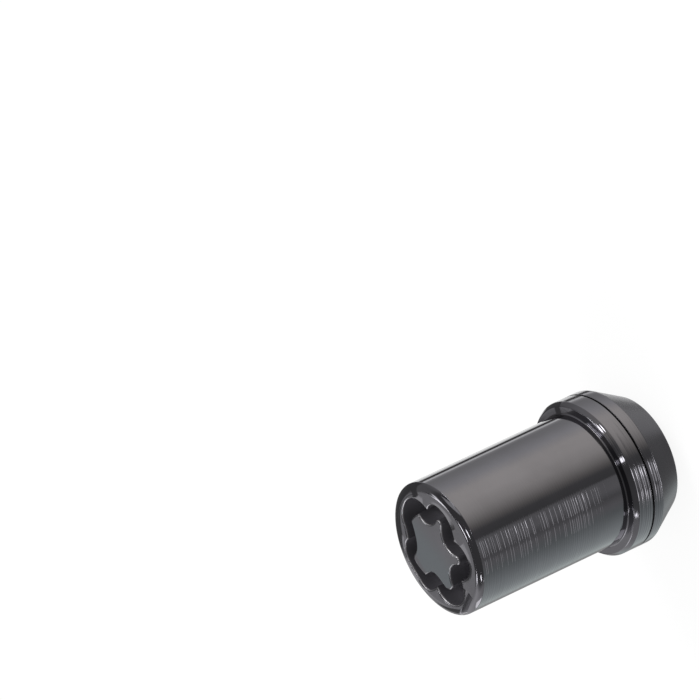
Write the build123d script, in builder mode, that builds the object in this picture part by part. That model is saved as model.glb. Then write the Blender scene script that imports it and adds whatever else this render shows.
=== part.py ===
from build123d import *
import math
import os

# One-piece steel locking wheel nut, in millimetres.
# It stands on its seat end: the origin is the centre of that end, and +Z runs up the axis to the drive face.

# Lengths along the axis
total_length = 33.6
band_height = 4.6
collar_line_rise = 1.6

# Outside diameters
body_diameter = 18.5
collar_diameter = 21.6
seat_end_diameter = 16.3

# Seat cone, which centres the nut in the wheel
seat_cone_angle = 60.0

# Edges left by the lathe
rim_width = 1.32
rim_drop = 0.5
collar_edge_width = 0.45
collar_edge_drop = 0.6
collar_corner_size = 0.2
collar_line_width = 0.36
collar_line_depth = 0.16
seat_shoulder_radius = 0.25
seat_end_edge = 0.25

# Blind stud hole, at the minor diameter of its M12 x 1.5 thread
thread_diameter = 12.0
thread_pitch = 1.5
thread_depth = 22.0
drill_point_angle = 118.0
mouth_diameter = 12.6
mouth_angle = 90.0

# Key pattern: a deep groove round an island, left level with the drive face
pattern_diameter = 15.4
groove_depth = 5.0
groove_edge = 0.2

# Index slot, which shows how the key goes on
index_distance = 7.75
index_bearing = 307.0
index_width = 0.95
index_depth = 0.45

# Each stretch of a wall of the groove is one smooth curve from corner to corner, through points given by
# their bearing in degrees and their distance from the axis as a share of the pattern's radius
outer_wall = [
    [(82, 0.735), (66, 0.885), (44, 0.855), (24, 0.715), (14.5, 0.625)],
    [(14.5, 0.625), (5, 0.76), (347, 0.885), (325, 0.84), (309, 0.71)],
    [(309, 0.71), (301, 0.825), (290, 0.95), (270, 1), (252, 0.915), (242, 0.76)],
    [(242, 0.76), (235, 0.885), (228, 0.985), (206, 0.985), (186, 0.995), (176, 0.94), (167, 0.805)],
    [(167, 0.805), (151, 0.85)],
    [(151, 0.85), (144, 0.92), (128, 0.98), (107, 0.97), (93, 0.87), (82, 0.735)],
]
island_wall = [
    [(107, 0.675), (103, 0.525), (88, 0.455), (74, 0.48), (63, 0.595)],
    [(63, 0.595), (56.5, 0.635), (50, 0.605)],
    [(50, 0.605), (42, 0.415), (25, 0.325), (2, 0.355), (349, 0.55)],
    [(349, 0.55), (344, 0.605), (333, 0.58)],
    [(333, 0.58), (322, 0.44), (302, 0.41), (288, 0.485), (281, 0.66)],
    [(281, 0.66), (271.5, 0.715), (262, 0.69)],
    [(262, 0.69), (249, 0.565), (233, 0.53), (222, 0.625), (217, 0.765)],
    [(217, 0.765), (199, 0.81), (191, 0.805), (187.5, 0.755)],
    [(187.5, 0.755), (180, 0.625), (163, 0.57), (147, 0.615), (134, 0.72)],
    [(134, 0.72), (121, 0.695), (107, 0.675)],
]

body_radius = body_diameter / 2
collar_radius = collar_diameter / 2
seat_end_outer = seat_end_diameter / 2
cone_slope = math.tan(math.radians(seat_cone_angle / 2))
cone_height = (collar_radius - seat_end_outer) / cone_slope
collar_line_height = cone_height + collar_line_rise
collar_face_height = cone_height + band_height
pattern_radius = pattern_diameter / 2
thread_minor_radius = (thread_diameter - 1.0825 * thread_pitch) / 2
mouth_radius = mouth_diameter / 2
mouth_depth = (mouth_radius - thread_minor_radius) / math.tan(math.radians(mouth_angle / 2))
drill_point = thread_minor_radius / math.tan(math.radians(drill_point_angle / 2))
index_plane = Plane(
    origin=(0, 0, total_length),
    x_dir=Vector(1, 0, 0).rotate(Axis.Z, index_bearing - 90),
    z_dir=(0, 0, 1),
)
index_run = math.sqrt(body_radius**2 - index_distance**2) + index_width


def at(bearing, share):
    """A point of the key pattern, from its bearing and its share of the pattern's radius."""
    turn = math.radians(bearing)
    return (share * pattern_radius * math.cos(turn), share * pattern_radius * math.sin(turn))


def draw_wall(stretches):
    """The closed line of one wall of the groove."""
    for points in stretches:
        Spline(*[at(bearing, share) for bearing, share in points])


with BuildPart() as locking_nut:
    # The outside, as the lathe turns it: its rim rounds off from the flat of the drive face to a crisp edge
    with BuildSketch(Plane.XZ) as turned_section:
        with BuildLine():
            rim_inner = (body_radius - rim_width, total_length)
            rim_outer = (body_radius, total_length - rim_drop)
            Polyline(
                (0, 0),
                (seat_end_outer, 0),
                (collar_radius, cone_height),
                (collar_radius, collar_line_height - collar_line_width / 2),
                (collar_radius - collar_line_depth, collar_line_height),
                (collar_radius, collar_line_height + collar_line_width / 2),
                (collar_radius, collar_face_height - collar_edge_drop),
                (collar_radius - collar_edge_width, collar_face_height),
                (body_radius, collar_face_height),
                rim_outer,
            )
            TangentArc(rim_inner, rim_outer, tangent=(1, 0))
            Polyline(rim_inner, (0, total_length), (0, 0))
        make_face()
        collar_corner = (body_radius, collar_face_height)
        chamfer(turned_section.vertices().sort_by_distance(collar_corner)[0], collar_corner_size)
        seat_shoulder = (collar_radius, cone_height)
        fillet(turned_section.vertices().sort_by_distance(seat_shoulder)[0], seat_shoulder_radius)
        seat_end_corner = (seat_end_outer, 0)
        chamfer(turned_section.vertices().sort_by_distance(seat_end_corner)[0], seat_end_edge)
    revolve(axis=Axis.Z)

    # The stud hole, with its countersunk mouth and its drill point
    with BuildSketch(Plane.XZ):
        with BuildLine():
            Polyline(
                (0, 0),
                (mouth_radius, 0),
                (thread_minor_radius, mouth_depth),
                (thread_minor_radius, thread_depth),
                (0, thread_depth + drill_point),
                (0, 0),
            )
        make_face()
    revolve(axis=Axis.Z, mode=Mode.SUBTRACT)

    # The key groove goes straight down between its outer wall and the island
    with BuildSketch(Plane.XY.offset(total_length)):
        with BuildLine():
            draw_wall(outer_wall)
        make_face()
        with BuildLine():
            draw_wall(island_wall)
        make_face(mode=Mode.SUBTRACT)
    extrude(amount=-groove_depth, mode=Mode.SUBTRACT)

    # The sharp edges of the groove are broken, on the rim side and on the island
    face_edges = locking_nut.faces().filter_by(Plane.XY).sort_by(Axis.Z)[-2:].edges()
    chamfer(face_edges.filter_by(GeomType.BSPLINE), groove_edge)

    # The index slot starts square to its bearing and runs out through the rim
    with BuildSketch(index_plane):
        with Locations((0, index_distance)):
            Rectangle(index_run, index_width, align=(Align.MIN, Align.CENTER))
    extrude(amount=-index_depth, mode=Mode.SUBTRACT)

locking_nut.part.label = "locking_nut"

os.makedirs("parts", exist_ok=True)
export_step(locking_nut.part, "parts/locking_nut.step")
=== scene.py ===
import math

import bmesh
import bpy
import numpy as np
from mathutils import Matrix, Vector


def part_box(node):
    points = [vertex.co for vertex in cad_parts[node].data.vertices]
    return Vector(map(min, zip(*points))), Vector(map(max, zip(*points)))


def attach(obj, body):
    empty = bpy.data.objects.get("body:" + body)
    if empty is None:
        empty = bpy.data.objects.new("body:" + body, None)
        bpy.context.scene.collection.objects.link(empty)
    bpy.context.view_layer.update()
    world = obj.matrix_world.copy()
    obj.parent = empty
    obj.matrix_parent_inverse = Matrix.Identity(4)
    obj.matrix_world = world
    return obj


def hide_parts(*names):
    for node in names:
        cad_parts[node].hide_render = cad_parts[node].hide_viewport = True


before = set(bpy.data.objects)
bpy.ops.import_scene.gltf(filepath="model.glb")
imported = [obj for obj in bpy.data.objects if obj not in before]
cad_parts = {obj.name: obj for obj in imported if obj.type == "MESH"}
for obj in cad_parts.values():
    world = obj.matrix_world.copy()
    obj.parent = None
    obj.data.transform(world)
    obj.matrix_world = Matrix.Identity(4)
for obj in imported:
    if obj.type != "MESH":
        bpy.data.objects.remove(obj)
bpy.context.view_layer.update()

bl_info = {
    "name": "Locking wheel nut",
    "version": (1, 0, 0),
    "blender": (4, 5, 0),
    "location": "3D View > Sidebar > Wheel Nut",
    "description": "Models a black plated locking wheel nut round its CAD frame, with a studio for it",
    "category": "Add Mesh",
}

NUT_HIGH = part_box("locking_nut")[1]
MM = 0.001

# Points nearer than this are one point, and the groove's walls have one about every step
NEAR = 0.001 * MM
WALL_STEP = 0.25 * MM

# How many facets go round the nut, along its rim's rounding, round the groove's edges and round the thread
AROUND = 288
RIM_STEPS = 12
EDGE_STEPS = 5
THREAD_AROUND = 96

# A metric thread's minor diameter is its diameter less this many pitches. Its flanks lean by 30 degrees
THREAD_CUT = 1.0825
FLANK_SLOPE = math.tan(math.radians(30))

# Faces that meet more sharply than this meet at a crisp edge
CRISP_ANGLE = math.radians(38)

# The walls of the key groove, from corner to corner, as in the CAD model: each point is a bearing in
# degrees and a share of the pattern's radius
OUTER_WALL = [
    [(82, 0.735), (66, 0.885), (44, 0.855), (24, 0.715), (14.5, 0.625)],
    [(14.5, 0.625), (5, 0.76), (347, 0.885), (325, 0.84), (309, 0.71)],
    [(309, 0.71), (301, 0.825), (290, 0.95), (270, 1), (252, 0.915), (242, 0.76)],
    [(242, 0.76), (235, 0.885), (228, 0.985), (206, 0.985), (186, 0.995), (176, 0.94), (167, 0.805)],
    [(167, 0.805), (151, 0.85)],
    [(151, 0.85), (144, 0.92), (128, 0.98), (107, 0.97), (93, 0.87), (82, 0.735)],
]
ISLAND_WALL = [
    [(107, 0.675), (103, 0.525), (88, 0.455), (74, 0.48), (63, 0.595)],
    [(63, 0.595), (56.5, 0.635), (50, 0.605)],
    [(50, 0.605), (42, 0.415), (25, 0.325), (2, 0.355), (349, 0.55)],
    [(349, 0.55), (344, 0.605), (333, 0.58)],
    [(333, 0.58), (322, 0.44), (302, 0.41), (288, 0.485), (281, 0.66)],
    [(281, 0.66), (271.5, 0.715), (262, 0.69)],
    [(262, 0.69), (249, 0.565), (233, 0.53), (222, 0.625), (217, 0.765)],
    [(217, 0.765), (199, 0.81), (191, 0.805), (187.5, 0.755)],
    [(187.5, 0.755), (180, 0.625), (163, 0.57), (147, 0.615), (134, 0.72)],
    [(134, 0.72), (121, 0.695), (107, 0.675)],
]

# Where the plating changes: each pair says where a trait begins and where it is full. These are radii and
# places across the nut and along it: the skin at an outer radius, the collar, where the body and the collar
# are scored, the side of the drive face that falls away, and the part of the island that is cooler
SKIN = (-0.1 * MM, -0.02 * MM)
COLLAR_RADII = (10 * MM, 10.3 * MM)
SCORED_BODY_HEIGHTS = (7 * MM, 18 * MM)
SCORED_BODY_SIDE = (1.5 * MM, 6 * MM)
SCORED_COLLAR_SIDE = (4 * MM, 9.5 * MM)
CROWN_SIDE_ACROSS = (-1.6 * MM, 0.2 * MM)
CROWN_SIDE_ALONG = (-6 * MM, -4 * MM)
ISLAND_RADII = (4.9 * MM, 5.6 * MM)
CAST_SIDE = (-2 * MM, 2 * MM)
CAST_WAY = (-0.75, -0.6)

# Heights above the top of the seat cone
SEAT_ENDS = (0, 0.2 * MM)
BAND_BEGINS = (0.05 * MM, 0.35 * MM)

# Distances from the middle of the collar's turned line
LINE_ENDS = (0.11 * MM, 0.18 * MM)
SCORES_RESUME = (0.15 * MM, 0.5 * MM)

# Depths under the drive face: its worn lip, which is painted pale as a highlight, its polish, and the floor
# of the groove, which is painted paler to offset the shade deep down
LIP_BEGINS = (0.01 * MM, 0.05 * MM)
LIP_ENDS = (0.12 * MM, 0.26 * MM)
POLISH_ENDS = (0.12 * MM, 0.4 * MM)
FLOOR_NEARS = (0.5 * MM, 4.5 * MM)

# How fast the lathe's lines change across the nut, per metre, and the noise that lets the scores show
FEED_DRIFT = 40
STREAK_DRIFT = 90
SPACING_DRIFT = 160
SCORE_DRIFT = 240
SCORES_SHOW = (0.12, 0.62)

# The plating's slight mottling: its scale per metre, and its tones
CLOUD_SCALE = 260.0
CLOUD_STOPS = [(0.3, (0.92, 0.92, 0.92)), (0.7, (1, 1, 1))]

WHITE = (1, 1, 1, 1)
PLAIN, WARM, COOL = (1, 1, 1), (1.06, 1.02, 0.95), (0.93, 1.02, 1)

# What the polished nut sees round it: a bearing in degrees, how bright the tent is there, and its tint. The
# nut's sides mirror the lower half of the tent, and the drive face and the edges mirror the upper half
LOWER_TENT = [
    (-180, 1.2, PLAIN), (-165, 0.46, PLAIN), (-153, 0.38, PLAIN), (-144, 0.36, PLAIN), (-134, 0.84, COOL),
    (-113, 0.78, COOL), (-93, 0.7, COOL), (-73, 0.52, COOL), (-57, 0.38, COOL), (-43, 0.36, PLAIN),
    (-29, 0.24, PLAIN), (-17, 0.37, PLAIN), (0, 0.35, PLAIN), (2.5, 0.16, PLAIN), (15, 0.18, PLAIN),
    (23, 0.34, WARM), (35, 0.63, WARM), (47, 0.87, WARM), (67, 1.07, WARM), (87, 1.08, WARM),
    (107, 0.84, PLAIN), (127, 0.58, PLAIN), (139, 0.48, PLAIN), (146, 0.56, PLAIN), (148.5, 1.15, PLAIN),
    (153, 1.15, PLAIN), (154.5, 0.1, PLAIN), (164, 0.1, PLAIN), (167, 0.85, PLAIN),
]
UPPER_TENT = [
    (-180, 0.25, PLAIN), (-172, 0.3, PLAIN), (-169.5, 0.56, PLAIN), (-155, 0.6, PLAIN), (-140, 0.95, PLAIN),
    (-125, 0.75, PLAIN), (-105, 0.55, PLAIN), (-75, 0.42, PLAIN), (-58, 0.18, PLAIN), (0, 0.12, PLAIN),
    (40, 0.2, PLAIN), (60, 0.5, WARM), (110, 0.45, PLAIN), (150, 0.28, PLAIN),
]

# The tones of its roof and of the ground, and how bright it glows. Heights are shares of its radius, and
# each pair says where a change begins and where it is full
ROOF_TONE = (0.11, 0.11, 0.11)
# Painted shadow: the ground's dark tone stands for the floor's shade round the nut, where the plating mirrors
# it
GROUND_SHADOW_TONE = (0.18, 0.18, 0.18)
TENT_STRENGTH = 1.2
HALVES_MEET = (-0.12, 0.08)
ROOF_BEGINS = (0.68, 0.8)
GROUND_BEGINS = (-0.72, -0.93)

# The studio's cards, which only the plating mirrors: bearing, height, width, depth and roll in degrees, how
# far out each stands as a share of the tent's radius, and how bright it is
CARDS = {
    "dark_card": (171, 4, 43, 42, 0, 0.9, 0.13),
    "dark_card_top": (171.8, 22, 43.6, 13, 0, 0.9, 0.13),
    "dark_card_low": (-152.5, 13.5, 11, 23, 0, 0.9, 0.17),
    "pale_strip": (-164, 15, 4, 24, 0, 0.88, 0.95),
    "dark_roof_card": (-168, 45, 18, 16, 0, 0.9, 0.12),
    "arc_strip": (-171.5, 38, 2.6, 7, 34, 0.85, 4),
    "arc_strip_end": (-179, 42.5, 2.6, 11, 66, 0.85, 2.5),
    "roof_lamp": (-167.3, 50.5, 4, 4, 0, 0.85, 8),
    "zenith_lamp": (-172, 83, 5, 5, 0, 0.85, 8),
    "front_lamp": (17.7, 44, 5, 12, 0, 0.85, 6),
    "side_lamp_a": (-150.2, 46.5, 2.5, 4, 0, 0.85, 8),
    "side_lamp_b": (-102.8, 55.2, 4, 5, 0, 0.85, 8),
    "side_lamp_c": (-68.6, 29.5, 5, 8, 0, 0.85, 6),
    "lip_card": (-114, 25, 22, 14, 0, 0.85, 2.5),
    "edge_card": (90, 42.5, 28, 9, 0, 0.85, 8),
    "crown_card": (100, 64, 40, 12, 0, 0.87, 0.8),
    "streak_card_a": (-19, -42, 22, 8, 0, 0.85, 1.25),
    "streak_card_b": (-53, -43, 20, 10, 0, 0.85, 0.95),
    "band_card_a": (-14, -54, 9, 16, 0, 0.85, 5),
    "band_card_b": (-33, -54, 13, 16, 0, 0.85, 1.2),
    "band_card_c": (-54, -54, 9, 16, 0, 0.85, 3.6),
    "seat_card": (128, -72, 34, 20, 0, 0.85, 0.5),
}

# The lamps: bearing and height in degrees, distance and span in metres, and power in watts
LAMPS = {
    "key_lamp": (95, 50, 0.8, 0.35, 3.5),
    "fill_lamp": (-100, 35, 0.8, 0.45, 3),
}


def size(name, description, millimetres):
    """A length that a user would change, in metres, from its size in millimetres."""
    return bpy.props.FloatProperty(
        name=name, description=description, default=millimetres * MM, unit="LENGTH", precision=5, min=0
    )


def angle(name, description, degrees):
    """An angle that a user would change."""
    return bpy.props.FloatProperty(
        name=name, description=description, default=math.radians(degrees), subtype="ANGLE", unit="ROTATION"
    )


def factor(name, description, default):
    """A plain number that a user would change."""
    return bpy.props.FloatProperty(name=name, description=description, default=default, min=0)


def spot(name, description, millimetres):
    """A place that a user would change, in metres, from its place in millimetres."""
    return bpy.props.FloatVectorProperty(
        name=name,
        description=description,
        default=[length * MM for length in millimetres],
        subtype="TRANSLATION",
        unit="LENGTH",
        size=3,
        precision=5,
    )


def colour(name, description, default):
    """A colour that a user would change."""
    return bpy.props.FloatVectorProperty(
        name=name, description=description, default=default, subtype="COLOR", size=3, min=0, max=1
    )


class NutSizes(bpy.types.PropertyGroup):
    """Sizes of the nut. Its height and its collar's diameter come from the CAD model's box."""

    body_diameter: size("Body diameter", "Across the plain body above the collar", 18.5)
    band_height: size("Band height", "From the top of the seat cone to the collar's face", 4.6)
    seat_end_diameter: size("Seat end diameter", "Across the small end of the seat cone", 16.3)
    seat_cone_angle: angle("Seat cone angle", "The whole angle of the seat cone", 60)
    rim_width: size("Rim width", "Across the rounded rim of the drive face", 1.32)
    rim_drop: size("Rim drop", "From the drive face down to the rim's crisp edge", 0.5)
    collar_edge_width: size("Collar edge width", "Across the chamfer of the collar's face", 0.45)
    collar_edge_drop: size("Collar edge drop", "Down the chamfer of the collar's face", 0.6)
    collar_line_rise: size("Collar line rise", "From the top of the seat cone to the turned line", 1.6)
    collar_line_width: size("Collar line width", "Across the turned line on the collar", 0.36)
    collar_line_depth: size("Collar line depth", "Depth of the turned line on the collar", 0.16)
    thread_diameter: size("Thread diameter", "Over the thread's roots", 12)
    thread_pitch: size("Thread pitch", "From one turn of the thread to the next", 1.5)
    thread_depth: size("Hole depth", "From the seat end to the end of the plain hole", 22)
    thread_end: size("Thread end", "From the seat end to the last full turn of thread", 20)
    drill_point_angle: angle("Drill point angle", "The whole angle of the hole's end", 118)
    mouth_diameter: size("Mouth diameter", "Across the countersunk mouth of the hole", 12.6)
    pattern_diameter: size("Pattern diameter", "Across the widest part of the key groove", 15.4)
    groove_depth: size("Groove depth", "Depth of the key groove", 5)
    groove_edge: size("Groove edge", "Radius of the groove's rounded edges", 0.2)
    index_distance: size("Index distance", "From the axis to the middle of the index slot", 7.75)
    index_bearing: angle("Index bearing", "Bearing of the index slot", 307)
    index_width: size("Index width", "Width of the index slot", 0.95)
    index_depth: size("Index depth", "Depth of the index slot", 0.45)


class NutFinish(bpy.types.PropertyGroup):
    """Colours and textures of the black plating."""

    plating: colour("Plating", "Colour of the black plated steel, seen square on", (0.2, 0.196, 0.214))
    roughness: factor("Roughness", "Roughness of the polished plating", 0.08)
    feed_pitch: size("Feed pitch", "Spacing of the finest lines that the lathe left", 0.11)
    feed_height: size("Feed height", "Height of those lines", 0.0006)
    streak_pitch: size("Streak pitch", "Spacing of the broader lines", 0.42)
    streak_height: size("Streak height", "Height of the broader lines", 0.0022)
    score_pitch: size("Score pitch", "Spacing of the deeper lines on the body and the collar", 0.36)
    score_height: size("Score height", "Height of the deeper lines", 0.01)
    score_sway: factor("Score sway", "How unevenly the deeper lines are spaced", 7)
    body_wear: factor("Body wear", "Share of the deeper lines' height on the body", 1.2)
    collar_wear: factor("Collar wear", "Share of the deeper lines' height on the collar", 2.3)
    unevenness: factor("Unevenness", "How much the roughness varies over the plating", 0.4)
    seat_roughness: factor("Seat roughness", "Roughness of the seat cone", 0.27)
    band_roughness: factor("Band roughness", "Roughness round the collar", 0.12)
    face_crown: factor("Face crown", "How fast one side of the drive face falls to its rim, per metre", 36)
    face_crown_start: size("Face crown start", "Radius at which it starts to", 6.5)
    face_crown_end: size("Face crown end", "Radius at which the rim takes over", 7.95)
    # Painted highlight: the pale colour on the edges of the groove and of the slot stands in for their
    # highlight
    lip_highlight_colour: colour("Lip colour", "Colour of the worn edges of the key groove", (0.6, 0.59, 0.62))
    lip_roughness: factor("Lip roughness", "Roughness of those edges", 0.3)
    # Painted shade: the near-black colour in the collar's turned line stands in for the shade in it
    collar_line_painted_shade: colour("Collar line colour", "Colour in the turned line", (0.016, 0.016, 0.017))
    groove_colour: colour("Groove colour", "Colour of the unpolished walls", (0.056, 0.054, 0.063))
    # Painted light: the paler colour deep in the groove offsets the shade down there
    groove_floor_painted_light: colour("Groove floor colour", "Its colour deep down", (0.17, 0.164, 0.186))
    island_cast: colour("Island cast", "Cooler colour on part of the island", (0.195, 0.213, 0.23))
    groove_roughness: factor("Groove roughness", "Roughness in the key groove", 0.8)
    groove_metal: factor("Groove metal", "How much of a metal's mirror is left in the key groove", 0.2)


class Studio(bpy.types.PropertyGroup):
    """The camera, as in the photograph, and the studio round the nut."""

    view_bearing: angle("View bearing", "Bearing of the camera from the nut", 12.76)
    view_height: angle("View height", "How far the camera looks down", 29.74)
    view_roll: angle("View roll", "Turn of the camera round its line of sight", -114.54)
    view_aim: spot("View aim", "The place beside the nut that the camera looks at", (-5.9, 27.45, 33.1))
    view_distance: size("View distance", "From the camera to the place that it looks at", 1149)
    lens: factor("Lens", "Focal length in millimetres, for a 36 mm sensor", 458.75)
    floor_span: size("Floor span", "Width of the plain floor", 3000)
    floor_gap: size("Floor gap", "From the seat end down to the floor", 0.02)
    floor_white: colour("Floor", "Colour of the plain pale floor", (0.9, 0.9, 0.9))
    floor_whiteness: factor("Floor whiteness", "Share of plain white in the floor, as it is seen", 0.9)
    sky_light: factor("Sky light", "Strength of the soft light from all round", 0.8)
    tent_radius: size("Tent radius", "Radius of the light tent that the plating mirrors", 2000)


def points_along(points, step):
    """Points about a step apart on the smooth curve through the given ones, without the last of them."""
    through = np.array(points)
    gaps = np.linalg.norm(np.diff(through, axis=0), axis=1)
    reach = np.concatenate([[0], np.cumsum(gaps)])
    count = len(points)
    if count == 2:
        slopes = np.repeat((through[1:] - through[:1]) / gaps[0], 2, axis=0)
    else:
        order = min(3, count - 1)
        start = np.polyfit(reach[: order + 1], through[: order + 1], order)[-2]
        end = -np.polyfit((reach[-1] - reach)[: -order - 2 : -1], through[: -order - 2 : -1], order)[-2]
        rows = np.eye(count)
        sums = np.zeros((count, 2))
        sums[0], sums[-1] = start, end
        for i in range(1, count - 1):
            before, after = gaps[i - 1], gaps[i]
            rows[i, i - 1 : i + 2] = 1 / before, 2 / before + 2 / after, 1 / after
            sums[i] = 3 * (through[i] - through[i - 1]) / before**2
            sums[i] += 3 * (through[i + 1] - through[i]) / after**2
        slopes = np.linalg.solve(rows, sums)
    found = []
    for at in np.linspace(0, reach[-1], max(3, round(reach[-1] / step)) + 1)[:-1]:
        i = min(int(np.searchsorted(reach, at, side="right")) - 1, count - 2)
        t = (at - reach[i]) / gaps[i]
        found.append(
            (2 * t**3 - 3 * t**2 + 1) * through[i]
            + (t**3 - 2 * t**2 + t) * gaps[i] * slopes[i]
            + (3 * t**2 - 2 * t**3) * through[i + 1]
            + (t**3 - t**2) * gaps[i] * slopes[i + 1]
        )
    return found


def wall_outline(stretches, radius):
    """The closed outline of one wall of the groove, as points in metres, anticlockwise."""
    outline = []
    for stretch in stretches:
        places = []
        for bearing, share in stretch:
            turn = math.radians(bearing)
            places.append((radius * share * math.cos(turn), radius * share * math.sin(turn)))
        outline += points_along(places, WALL_STEP)
    return outline[::-1]


def outline_face(bm, outline, height):
    """One face inside an outline, at a height."""
    return bm.faces.new([bm.verts.new((x, y, height)) for x, y in outline])


def boundary(bm):
    """The open edges of a mesh."""
    return [edge for edge in bm.edges if edge.is_boundary]


def extrude_down(bm, edges, depth):
    """Makes walls from open edges, straight down."""
    made = bmesh.ops.extrude_edge_only(bm, edges=edges)["geom"]
    low = [v for v in made if isinstance(v, bmesh.types.BMVert)]
    bmesh.ops.translate(bm, verts=low, vec=(0, 0, -depth))


def quarter_round(radius, steps):
    """The steps of a quarter round from a wall onto a face: how far in and how far up each goes."""
    turns = [math.pi / 2 * i / steps for i in range(steps + 1)]
    for low, high in zip(turns, turns[1:]):
        yield radius * (math.cos(low) - math.cos(high)), radius * (math.sin(high) - math.sin(low))


def groove_wall(sizes, top, stretches, way):
    """One wall of the key groove with its rounded edge, open below. The edge rounds outwards for a way of
    -1, round the groove, or inwards for 1, on the island."""
    bm = bmesh.new()
    face = outline_face(bm, wall_outline(stretches, sizes.pattern_diameter / 2), top - sizes.groove_edge)
    face.normal_update()
    for across, up in quarter_round(sizes.groove_edge, EDGE_STEPS):
        bmesh.ops.inset_region(
            bm, faces=[face], thickness=way * across, depth=up, use_even_offset=True, use_boundary=True
        )
    extrude_down(bm, boundary(bm), sizes.groove_depth - sizes.groove_edge)
    if way < 0:
        bmesh.ops.delete(bm, geom=[face], context="FACES_ONLY")
    return bm


def cone_height(sizes, collar_radius):
    """How high the seat cone is."""
    return (collar_radius - sizes.seat_end_diameter / 2) / math.tan(sizes.seat_cone_angle / 2)


def turned_outside(sizes, top, collar_radius):
    """The nut as the lathe leaves it, open at the drive face inside the rim."""
    body = sizes.body_diameter / 2
    seat_end = sizes.seat_end_diameter / 2
    cone_top = cone_height(sizes, collar_radius)
    line = cone_top + sizes.collar_line_rise
    collar_face = cone_top + sizes.band_height
    bore = (sizes.thread_diameter - THREAD_CUT * sizes.thread_pitch) / 2
    mouth = sizes.mouth_diameter / 2
    point = bore / math.tan(sizes.drill_point_angle / 2)
    half_line = sizes.collar_line_width / 2
    rim_start = body - sizes.rim_width
    rim_radius = (sizes.rim_width**2 + sizes.rim_drop**2) / (2 * sizes.rim_drop)
    rim_turn = math.asin(sizes.rim_width / rim_radius)
    turns = [rim_turn * i / RIM_STEPS for i in range(RIM_STEPS)]
    rim = [
        (rim_start + rim_radius * math.sin(turn), top - rim_radius * (1 - math.cos(turn)), 0)
        for turn in turns
    ]

    # Each corner of the section, from the rim down to the drill point, with the length of its rounding
    section = rim + [
        (body, top - sizes.rim_drop, 0.06 * MM),
        (body, collar_face, 0.2 * MM),
        (collar_radius - sizes.collar_edge_width, collar_face, 0.09 * MM),
        (collar_radius, collar_face - sizes.collar_edge_drop, 0.09 * MM),
        (collar_radius, line + half_line, 0.035 * MM),
        (collar_radius - sizes.collar_line_depth, line, 0.02 * MM),
        (collar_radius, line - half_line, 0.035 * MM),
        (collar_radius, cone_top, 0.13 * MM),
        (seat_end, 0, 0.22 * MM),
        (mouth, 0, 0.08 * MM),
        (bore, mouth - bore, 0.05 * MM),
        (bore, sizes.thread_depth, 0.1 * MM),
        (0, sizes.thread_depth + point, 0),
    ]
    bm = bmesh.new()
    corners = [bm.verts.new((x, 0, z)) for x, z, rounding in section]
    for a, b in zip(corners, corners[1:]):
        bm.edges.new((a, b))
    roundings = {}
    for vert, (x, z, rounding) in zip(corners, section):
        if rounding:
            roundings.setdefault(rounding, []).append(vert)
    for rounding, verts in roundings.items():
        bmesh.ops.bevel(
            bm, geom=verts, affect="VERTICES", offset=rounding, segments=EDGE_STEPS, profile=0.5,
            material=-1,
        )
    bmesh.ops.spin(
        bm, geom=bm.verts[:] + bm.edges[:], cent=(0, 0, 0), axis=(0, 0, 1), angle=math.tau, steps=AROUND,
        use_merge=True,
    )
    bmesh.ops.remove_doubles(bm, verts=bm.verts, dist=NEAR)
    return bm


def stud_cutter(sizes):
    """A threaded rod, which cuts the thread into the nut's hole. Its core is thinner than the hole, it starts
    two turns below the seat end, and both of its ends are cut level."""
    pitch = sizes.thread_pitch
    outer = sizes.thread_diameter / 2
    core = outer - 1 * MM
    flank = (outer - core) * FLANK_SLOPE
    crest = pitch / 8
    foot = (pitch - crest) / 2 - flank
    section = [
        (core, 0), (core, foot), (outer, foot + flank), (outer, foot + flank + crest), (core, pitch - foot),
        (core, pitch),
    ]
    start = -2 * pitch
    turns = math.ceil((sizes.thread_end - start) / pitch) + 1
    bm = bmesh.new()
    verts = [bm.verts.new((x, 0, start + z)) for x, z in section]
    edges = [bm.edges.new(pair) for pair in zip(verts, verts[1:])]
    bmesh.ops.spin(
        bm, geom=verts + edges, cent=(0, 0, 0), axis=(0, 0, 1), angle=math.tau * turns,
        dvec=(0, 0, pitch / THREAD_AROUND), steps=THREAD_AROUND * turns,
    )
    bmesh.ops.remove_doubles(bm, verts=bm.verts, dist=NEAR)
    for height, way in ((-0.6 * pitch, -1), (sizes.thread_end, 1)):
        bmesh.ops.bisect_plane(
            bm, geom=bm.verts[:] + bm.edges[:] + bm.faces[:], plane_co=(0, 0, height), plane_no=(0, 0, way),
            clear_outer=True,
        )
    caps = bmesh.ops.holes_fill(bm, edges=boundary(bm), sides=0)["faces"]
    bmesh.ops.triangulate(bm, faces=caps)
    bmesh.ops.recalc_face_normals(bm, faces=bm.faces)
    return bm


def slot_cutter(sizes, top):
    """The cutter's path for the index slot, from its square end out through the rim."""
    run = math.sqrt((sizes.body_diameter / 2) ** 2 - sizes.index_distance**2) + sizes.index_width
    deep = 2 * sizes.index_depth
    bm = bmesh.new()
    bmesh.ops.create_cube(bm, size=1)
    place = (
        Matrix.Rotation(sizes.index_bearing - math.pi / 2, 4, "Z")
        @ Matrix.Translation((run / 2, sizes.index_distance, top))
        @ Matrix.Diagonal((run, sizes.index_width, deep, 1))
    )
    bmesh.ops.transform(bm, matrix=place, verts=bm.verts)
    bmesh.ops.recalc_face_normals(bm, faces=bm.faces)
    return bm


def into_mesh(bm, name):
    """A mesh from a bmesh, which is then freed."""
    mesh = bpy.data.meshes.new(name)
    bm.to_mesh(mesh)
    bm.free()
    return mesh


def into_object(bm, name):
    """An object in the scene from a bmesh."""
    made = bpy.data.objects.new(name, into_mesh(bm, name))
    bpy.context.scene.collection.objects.link(made)
    return made


def level_edges(bm, height):
    """The open edges that lie at a height."""
    return [e for e in boundary(bm) if all(abs(v.co.z - height) < NEAR for v in e.verts)]


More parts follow.
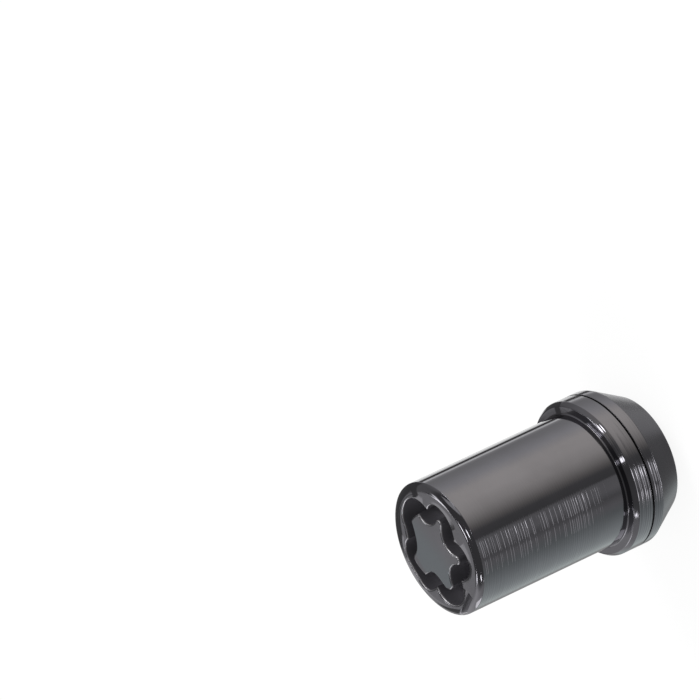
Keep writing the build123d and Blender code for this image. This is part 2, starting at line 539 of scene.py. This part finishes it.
def nut_mesh(sizes):
    """The whole nut before its thread and its slot: lathe work, key groove and island joined."""
    top = NUT_HIGH.z
    bm = turned_outside(sizes, top, NUT_HIGH.x)
    for other in (groove_wall(sizes, top, OUTER_WALL, -1), groove_wall(sizes, top, ISLAND_WALL, 1)):
        part = into_mesh(other, "groove_part")
        bm.from_mesh(part)
        bpy.data.meshes.remove(part)
    for height in (top, top - sizes.groove_depth):
        bmesh.ops.triangle_fill(bm, use_beauty=True, edges=level_edges(bm, height), normal=(0, 0, 1))
    left = len(boundary(bm))
    if left:
        raise RuntimeError(f"the nut has {left} open edges")
    bmesh.ops.recalc_face_normals(bm, faces=bm.faces)
    return bm


class Number:
    """A socket of a material that can be worked with as a number."""

    def __init__(self, finish, socket):
        self.finish = finish
        self.socket = socket

    def _with(self, operation, other, turned=False):
        first, second = (other, self) if turned else (self, other)
        return self.finish.maths(operation, first, second)

    def __add__(self, other):
        return self._with("ADD", other)

    def __radd__(self, other):
        return self._with("ADD", other, True)

    def __sub__(self, other):
        return self._with("SUBTRACT", other)

    def __rsub__(self, other):
        return self._with("SUBTRACT", other, True)

    def __mul__(self, other):
        return self._with("MULTIPLY", other)

    def __rmul__(self, other):
        return self._with("MULTIPLY", other, True)

    def __truediv__(self, other):
        return self._with("DIVIDE", other)

    def __pow__(self, other):
        return self._with("POWER", other)


class Finish:
    """A material or world that is being made."""

    def __init__(self, owner):
        owner.use_nodes = True
        self.owner = owner
        self.tree = owner.node_tree
        self.tree.nodes.clear()

    def add(self, kind, settings=None, sockets=None, output=0):
        """Adds a node: its settings first, then the values or links of its sockets."""
        node = self.tree.nodes.new(kind)
        for name, value in (settings or {}).items():
            if name == "stops":
                set_stops(node.color_ramp, value)
            else:
                setattr(node, name, value)
        for name, value in (sockets or {}).items():
            if isinstance(value, Number):
                self.tree.links.new(value.socket, node.inputs[name])
            else:
                node.inputs[name].default_value = value
        return Number(self, node.outputs[output]) if node.outputs else node

    def beside(self, number, *names):
        """Other outputs of the node that a number comes from."""
        return [Number(self, number.socket.node.outputs[name]) for name in names]

    def split(self, vector):
        """The three numbers of a vector."""
        across = self.add("ShaderNodeSeparateXYZ", None, {0: vector}, "X")
        return across, *self.beside(across, "Y", "Z")

    def maths(self, operation, *values):
        """What a Math node makes of its values."""
        return self.add("ShaderNodeMath", {"operation": operation}, dict(enumerate(values)))

    def rise(self, value, low, high):
        """How far a value has risen from low to high, smoothly from 0 to 1."""
        settings = {"interpolation_type": "SMOOTHSTEP"}
        return self.add("ShaderNodeMapRange", settings, {0: value, 1: low, 2: high})

    def noise(self, place, scale, detail, roughness):
        """Soft noise about 0.5, with finer detail in it."""
        return self.add(
            "ShaderNodeTexNoise",
            {"noise_dimensions": "3D"},
            {"Vector": place, "Scale": scale, "Detail": detail, "Roughness": roughness},
        )

    def mix(self, share, first, second, way="MIX"):
        """Mixes a share of the second colour into the first, each a link or three numbers."""
        first, second = (shade if isinstance(shade, Number) else (*shade, 1) for shade in (first, second))
        return self.add(
            "ShaderNodeMix",
            {"data_type": "RGBA", "blend_type": way},
            {"Factor": share, "A": first, "B": second},
            2,
        )

    def background(self):
        """1 for what the camera sees, mirrored and through glass too, and 0 for what lights the nut."""
        camera = self.add("ShaderNodeLightPath", output="Is Camera Ray")
        mirrored, through = self.beside(camera, "Is Glossy Ray", "Is Transmission Ray")
        return camera + mirrored + through

    def end(self, surface, kind="ShaderNodeOutputMaterial"):
        """The last node, which takes the surface."""
        self.add(kind, None, {"Surface": surface})


def set_stops(ramp, stops):
    """Gives a colour ramp its stops, each a place from 0 to 1 and a colour."""
    while len(ramp.elements) > 1:
        ramp.elements.remove(ramp.elements[-1])
    for i, (place, shade) in enumerate(stops):
        stop = ramp.elements[0] if i == 0 else ramp.elements.new(place)
        stop.position = place
        stop.color = (*shade, 1)


def black_plating(look, sizes):
    """Black plated steel, polished, with the fine lines that the lathe left all round it. The key groove and
    the index slot aren't polished."""
    made = Finish(bpy.data.materials.new("black_plating"))
    place = made.add("ShaderNodeTexCoord", output="Object")
    across, along, height = made.split(place)
    radius = (across * across + along * along) ** 0.5
    body = sizes.body_diameter / 2
    above_cone = height - cone_height(sizes, NUT_HIGH.x)
    from_line = made.maths("ABSOLUTE", above_cone - sizes.collar_line_rise)
    on_collar = made.rise(radius, *COLLAR_RADII)
    on_body_side = made.rise(radius - body, *SKIN)

    # Every turned surface has its lines along its circles, because they depend on radius and height alone,
    # but for a slow drift across the nut
    def lines(pitch, drift, detail=1.0):
        spots = {0: radius / pitch, 1: height / pitch, 2: across * drift}
        return made.noise(made.add("ShaderNodeCombineXYZ", None, spots), 1.0, detail, 0.5)

    feed = lines(look.feed_pitch, FEED_DRIFT)
    streaks = lines(look.streak_pitch, STREAK_DRIFT)

    # The deeper scores are a wave from -0.5 to 0.5, unevenly spaced, that comes and goes
    spacing = lines(0.9 * look.score_pitch, SPACING_DRIFT, 0.0) * look.score_sway
    wave = made.maths("SINE", (radius + height) / look.score_pitch * math.tau + spacing)
    scores = wave * made.rise(lines(0.7 * look.score_pitch, SCORE_DRIFT, 0.0), *SCORES_SHOW) * 0.5

    # They are on one side of the body, more of them towards the drive face, and on one side of the collar,
    # but not on the seat cone or at the turned line
    on_body = made.rise(height, *SCORED_BODY_HEIGHTS) * made.rise(across, *SCORED_BODY_SIDE)
    above_seat = on_collar * made.rise(above_cone, *BAND_BEGINS)
    worn = on_body * look.body_wear + above_seat * made.rise(across, *SCORED_COLLAR_SIDE) * look.collar_wear
    scored = scores * on_body_side * worn * made.rise(from_line, *SCORES_RESUME)

    # One side of the drive face begins to fall away before its rim does
    falling = made.maths("MAXIMUM", radius, look.face_crown_start)
    falling = made.maths("MINIMUM", falling, look.face_crown_end) - look.face_crown_start
    one_side = (1.0 - made.rise(across, *CROWN_SIDE_ACROSS)) * made.rise(along, *CROWN_SIDE_ALONG)
    fall = falling * falling * look.face_crown * one_side
    lathe_work = feed * look.feed_height + streaks * look.streak_height + scored * look.score_height
    bump = made.add("ShaderNodeBump", None, {"Height": lathe_work - fall, "Strength": 1.0, "Distance": 1.0})

    # How deep a place lies under the drive face with its rounded rim, inside the body. The polish doesn't
    # reach into the key groove, the index slot and the turned line
    rim_radius = (sizes.rim_width**2 + sizes.rim_drop**2) / (2 * sizes.rim_drop)
    out = made.maths("MAXIMUM", radius - (body - sizes.rim_width), 0.0)
    sunk = (NUT_HIGH.z - height) - (rim_radius - (rim_radius**2 - out * out) ** 0.5)
    inside = made.maths("LESS_THAN", radius, body - 0.1 * MM)
    in_groove = made.maths("LESS_THAN", sunk, sizes.groove_depth + 1 * MM)
    in_line = (1.0 - made.rise(from_line, *LINE_ENDS)) * on_collar
    unpolished = made.rise(sunk, *POLISH_ENDS) * inside * in_groove + in_line

    # The edges of the groove and of the slot are painted pale as a highlight, the groove's floor is painted
    # paler than its walls to offset the shade deep down, and the turned line is painted near black as the
    # shade in it
    lip = made.rise(sunk, *LIP_BEGINS) * (1.0 - made.rise(sunk, *LIP_ENDS)) * inside
    polished_shade = made.mix(lip, look.plating, look.lip_highlight_colour)
    groove_colour_with_painted_light = made.mix(made.rise(sunk, *FLOOR_NEARS), look.groove_colour, look.groove_floor_painted_light)
    # Painted shade: the turned line takes a near-black colour
    dull_colour_with_painted_light_and_shade = made.mix(in_line, groove_colour_with_painted_light, look.collar_line_painted_shade)
    shade = made.mix(unpolished, polished_shade, dull_colour_with_painted_light_and_shade)
    cloud = made.noise(place, CLOUD_SCALE, 3.0, 0.55)
    mottling = made.add("ShaderNodeValToRGB", {"stops": CLOUD_STOPS}, {0: cloud})
    mottled = made.mix(1.0, shade, mottling, "MULTIPLY")

    # Part of the island is a little cooler
    island = 1.0 - made.rise(radius, *ISLAND_RADII)
    level = made.rise(height, NUT_HIGH.z - 0.1 * MM, NUT_HIGH.z)
    cool = made.rise(across * CAST_WAY[0] + along * CAST_WAY[1], *CAST_SIDE) * island * level
    tinted = made.mix(cool, mottled, look.island_cast)

    # The seat cone is duller than the body, and the collar's side a little, and the lips are worn dull
    seat = 1.0 - made.rise(above_cone, *SEAT_ENDS)
    turned = look.roughness + made.rise(radius - NUT_HIGH.x, *SKIN) * (look.band_roughness - look.roughness)
    uneven = 1 - look.unevenness / 2 + cloud * look.unevenness
    polished = (turned + seat * (look.seat_roughness - turned)) * uneven + lip * look.lip_roughness
    shader = made.add("ShaderNodeBsdfPrincipled", None, {
        "Base Color": tinted,
        "Metallic": 1.0 - (unpolished - in_line) * (1 - look.groove_metal),
        "Roughness": polished + (look.groove_roughness - polished) * unpolished,
        "Normal": bump,
    })
    made.end(shader)
    return made.owner


class NUT_OT_make_nut(bpy.types.Operator):
    """Make the black plated locking nut and let it stand for its CAD node"""

    bl_idname = "wheel_nut.make_nut"
    bl_label = "Locking nut"

    def execute(self, context):
        sizes = context.scene.nut_sizes
        nut = into_object(nut_mesh(sizes), "black_nut")
        cutters = [
            into_object(stud_cutter(sizes), "stud_cutter"),
            into_object(slot_cutter(sizes, NUT_HIGH.z), "slot_cutter"),
        ]
        for cutter in cutters:
            cut = nut.modifiers.new(cutter.name, "BOOLEAN")
            cut.operation = "DIFFERENCE"
            cut.solver = "EXACT"
            cut.object = cutter
        seen = nut.evaluated_get(context.evaluated_depsgraph_get())
        mesh = bpy.data.meshes.new_from_object(seen)
        nut.modifiers.clear()
        nut.data = mesh
        for cutter in cutters:
            bpy.data.objects.remove(cutter)
        mesh.name = "black_nut"
        mesh.materials.clear()
        mesh.materials.append(black_plating(context.scene.nut_finish, sizes))
        mesh.shade_smooth()
        mesh.set_sharp_from_angle(angle=CRISP_ANGLE)
        weighted = nut.modifiers.new("weighted_normals", "WEIGHTED_NORMAL")
        weighted.keep_sharp = True
        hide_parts("locking_nut")
        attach(nut, "root")
        return {"FINISHED"}


def direction(bearing, height):
    """The way out from the nut at a bearing and a height, in radians."""
    return Vector((
        math.cos(height) * math.cos(bearing), math.cos(height) * math.sin(bearing), math.sin(height),
    ))


def plain_floor(studio):
    """A pale floor, white behind the nut, that keeps its shadow and isn't seen from below."""
    bm = bmesh.new()
    bmesh.ops.create_grid(bm, x_segments=1, y_segments=1, size=studio.floor_span / 2)
    bmesh.ops.translate(bm, verts=bm.verts, vec=(0, 0, -studio.floor_gap))
    floor = into_object(bm, "floor")
    made = Finish(bpy.data.materials.new("pale_floor"))
    white = made.add("ShaderNodeEmission", None, {"Color": WHITE, "Strength": 1.0})
    matte = made.add("ShaderNodeBsdfDiffuse", None, {"Color": (*studio.floor_white, 1)})
    shown = made.background() * studio.floor_whiteness
    seen_above = made.add("ShaderNodeMixShader", None, {0: shown, 1: matte, 2: white})
    clear = made.add("ShaderNodeBsdfTransparent")
    below = made.add("ShaderNodeNewGeometry", output="Backfacing")
    made.end(made.add("ShaderNodeMixShader", None, {0: below, 1: seen_above, 2: clear}))
    floor.data.materials.append(made.owner)
    floor.visible_glossy = False
    return floor


def mirrored_only(thing, made, tone, strength):
    """Makes a thing of the studio glow with a tone, and lets only mirroring surfaces see it."""
    made.end(made.add("ShaderNodeEmission", None, {"Color": tone, "Strength": strength}))
    thing.data.materials.append(made.owner)
    thing.visible_camera = False
    thing.visible_diffuse = False
    thing.visible_shadow = False
    thing.visible_transmission = False
    return thing


def light_tent(studio):
    """A wide tent round the nut, with its own brightness at each bearing, which only the plating mirrors."""
    bm = bmesh.new()
    bmesh.ops.create_icosphere(bm, subdivisions=5, radius=studio.tent_radius)
    made = Finish(bpy.data.materials.new("tent_cloth"))
    across, along, height = made.split(made.add("ShaderNodeTexCoord", output="Object"))
    bearing = made.maths("ARCTAN2", along, across) / math.tau + 0.5
    level = height / studio.tent_radius

    def half(tones):
        stops = []
        for turn, tone, tint in tones:
            stops.append(((turn + 180) / 360, [tone * part / TENT_STRENGTH for part in tint]))
        return made.add("ShaderNodeValToRGB", {"stops": stops}, {0: bearing})

    sides = made.mix(made.rise(level, *HALVES_MEET), half(LOWER_TENT), half(UPPER_TENT))
    roofed = made.mix(made.rise(level, *ROOF_BEGINS), sides, ROOF_TONE)
    tone = made.mix(made.rise(level, *GROUND_BEGINS), roofed, GROUND_SHADOW_TONE)
    return mirrored_only(into_object(bm, "light_tent"), made, tone, TENT_STRENGTH)


def reflection_card(studio, name, bearing, height, width, depth, roll, share, tone):
    """A flat card that faces the nut from inside the tent."""
    reach = studio.tent_radius * share
    away = direction(math.radians(bearing), math.radians(height))
    bm = bmesh.new()
    bmesh.ops.create_grid(bm, x_segments=1, y_segments=1, size=reach)
    spans = (math.tan(math.radians(width) / 2), math.tan(math.radians(depth) / 2), 1, 1)
    facing = away.to_track_quat("Z", "Y").to_matrix().to_4x4() @ Matrix.Rotation(math.radians(roll), 4, "Z")
    centre = Matrix.Translation(Vector((0, 0, NUT_HIGH.z)) + away * reach)
    bmesh.ops.transform(bm, matrix=centre @ facing @ Matrix.Diagonal(spans), verts=bm.verts)
    made = Finish(bpy.data.materials.new(name))
    return mirrored_only(into_object(bm, name), made, WHITE, tone)


def soft_lamp(name, bearing, height, distance, span, power):
    """A square soft lamp that looks at the nut."""
    away = direction(math.radians(bearing), math.radians(height))
    data = bpy.data.lights.new(name, "AREA")
    data.shape = "SQUARE"
    data.size = span
    data.energy = power
    lamp = bpy.data.objects.new(name, data)
    lamp.visible_glossy = False
    lamp.location = Vector((0, 0, NUT_HIGH.z / 2)) + away * distance
    lamp.rotation_euler = away.to_track_quat("Z", "Y").to_euler()
    bpy.context.scene.collection.objects.link(lamp)


def pale_world(studio):
    """Soft light from all round, and plain white for what the camera sees."""
    world = bpy.data.worlds.new("studio_world")
    bpy.context.scene.world = world
    made = Finish(world)
    strength = made.background() * (1 - studio.sky_light) + studio.sky_light
    sky = made.add("ShaderNodeBackground", None, {"Color": WHITE, "Strength": strength})
    made.end(sky, "ShaderNodeOutputWorld")


def photo_camera(studio):
    """The camera of the photograph: it looks down at the standing nut, turned on its line of sight."""
    data = bpy.data.cameras.new("photo_camera")
    data.lens = studio.lens
    data.sensor_width = 36
    data.clip_start = 0.01
    data.clip_end = 20
    camera = bpy.data.objects.new("photo_camera", data)
    away = direction(studio.view_bearing, studio.view_height)
    camera.matrix_world = (
        Matrix.Translation(Vector(studio.view_aim) + away * studio.view_distance)
        @ Matrix.Rotation(studio.view_bearing + math.pi / 2, 4, "Z")
        @ Matrix.Rotation(math.pi / 2 - studio.view_height, 4, "X")
        @ Matrix.Rotation(studio.view_roll, 4, "Z")
    )
    bpy.context.scene.collection.objects.link(camera)
    bpy.context.scene.camera = camera


class NUT_OT_make_studio(bpy.types.Operator):
    """Make the floor, the light tent, the lamps and the camera"""

    bl_idname = "wheel_nut.make_studio"
    bl_label = "Studio"

    def execute(self, context):
        studio = context.scene.nut_studio
        cards = [reflection_card(studio, name, *card) for name, card in CARDS.items()]
        for backdrop in [plain_floor(studio), light_tent(studio)] + cards:
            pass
        for name, lamp in LAMPS.items():
            soft_lamp(name, *lamp)
        pale_world(studio)
        photo_camera(studio)
        context.scene.view_settings.view_transform = "Standard"
        return {"FINISHED"}


class NUT_PT_sidebar(bpy.types.Panel):
    """The sidebar's list of what can be made"""

    bl_idname = "NUT_PT_sidebar"
    bl_label = "Locking wheel nut"
    bl_space_type = "VIEW_3D"
    bl_region_type = "UI"
    bl_category = "Wheel Nut"

    def draw(self, context):
        layout = self.layout
        layout.operator("wheel_nut.make_nut")
        layout.operator("wheel_nut.make_studio")
        for group in (context.scene.nut_sizes, context.scene.nut_finish, context.scene.nut_studio):
            box = layout.box()
            for name in group.__annotations__:
                box.prop(group, name)


CLASSES = (NutSizes, NutFinish, Studio, NUT_OT_make_nut, NUT_OT_make_studio, NUT_PT_sidebar)


def register():
    for each in CLASSES:
        bpy.utils.register_class(each)
    bpy.types.Scene.nut_sizes = bpy.props.PointerProperty(type=NutSizes)
    bpy.types.Scene.nut_finish = bpy.props.PointerProperty(type=NutFinish)
    bpy.types.Scene.nut_studio = bpy.props.PointerProperty(type=Studio)


def unregister():
    del bpy.types.Scene.nut_sizes
    del bpy.types.Scene.nut_finish
    del bpy.types.Scene.nut_studio
    for each in reversed(CLASSES):
        bpy.utils.unregister_class(each)


def main():
    register()
    bpy.ops.wheel_nut.make_nut()
    bpy.ops.wheel_nut.make_studio()


if __name__ == "__main__":
    main()
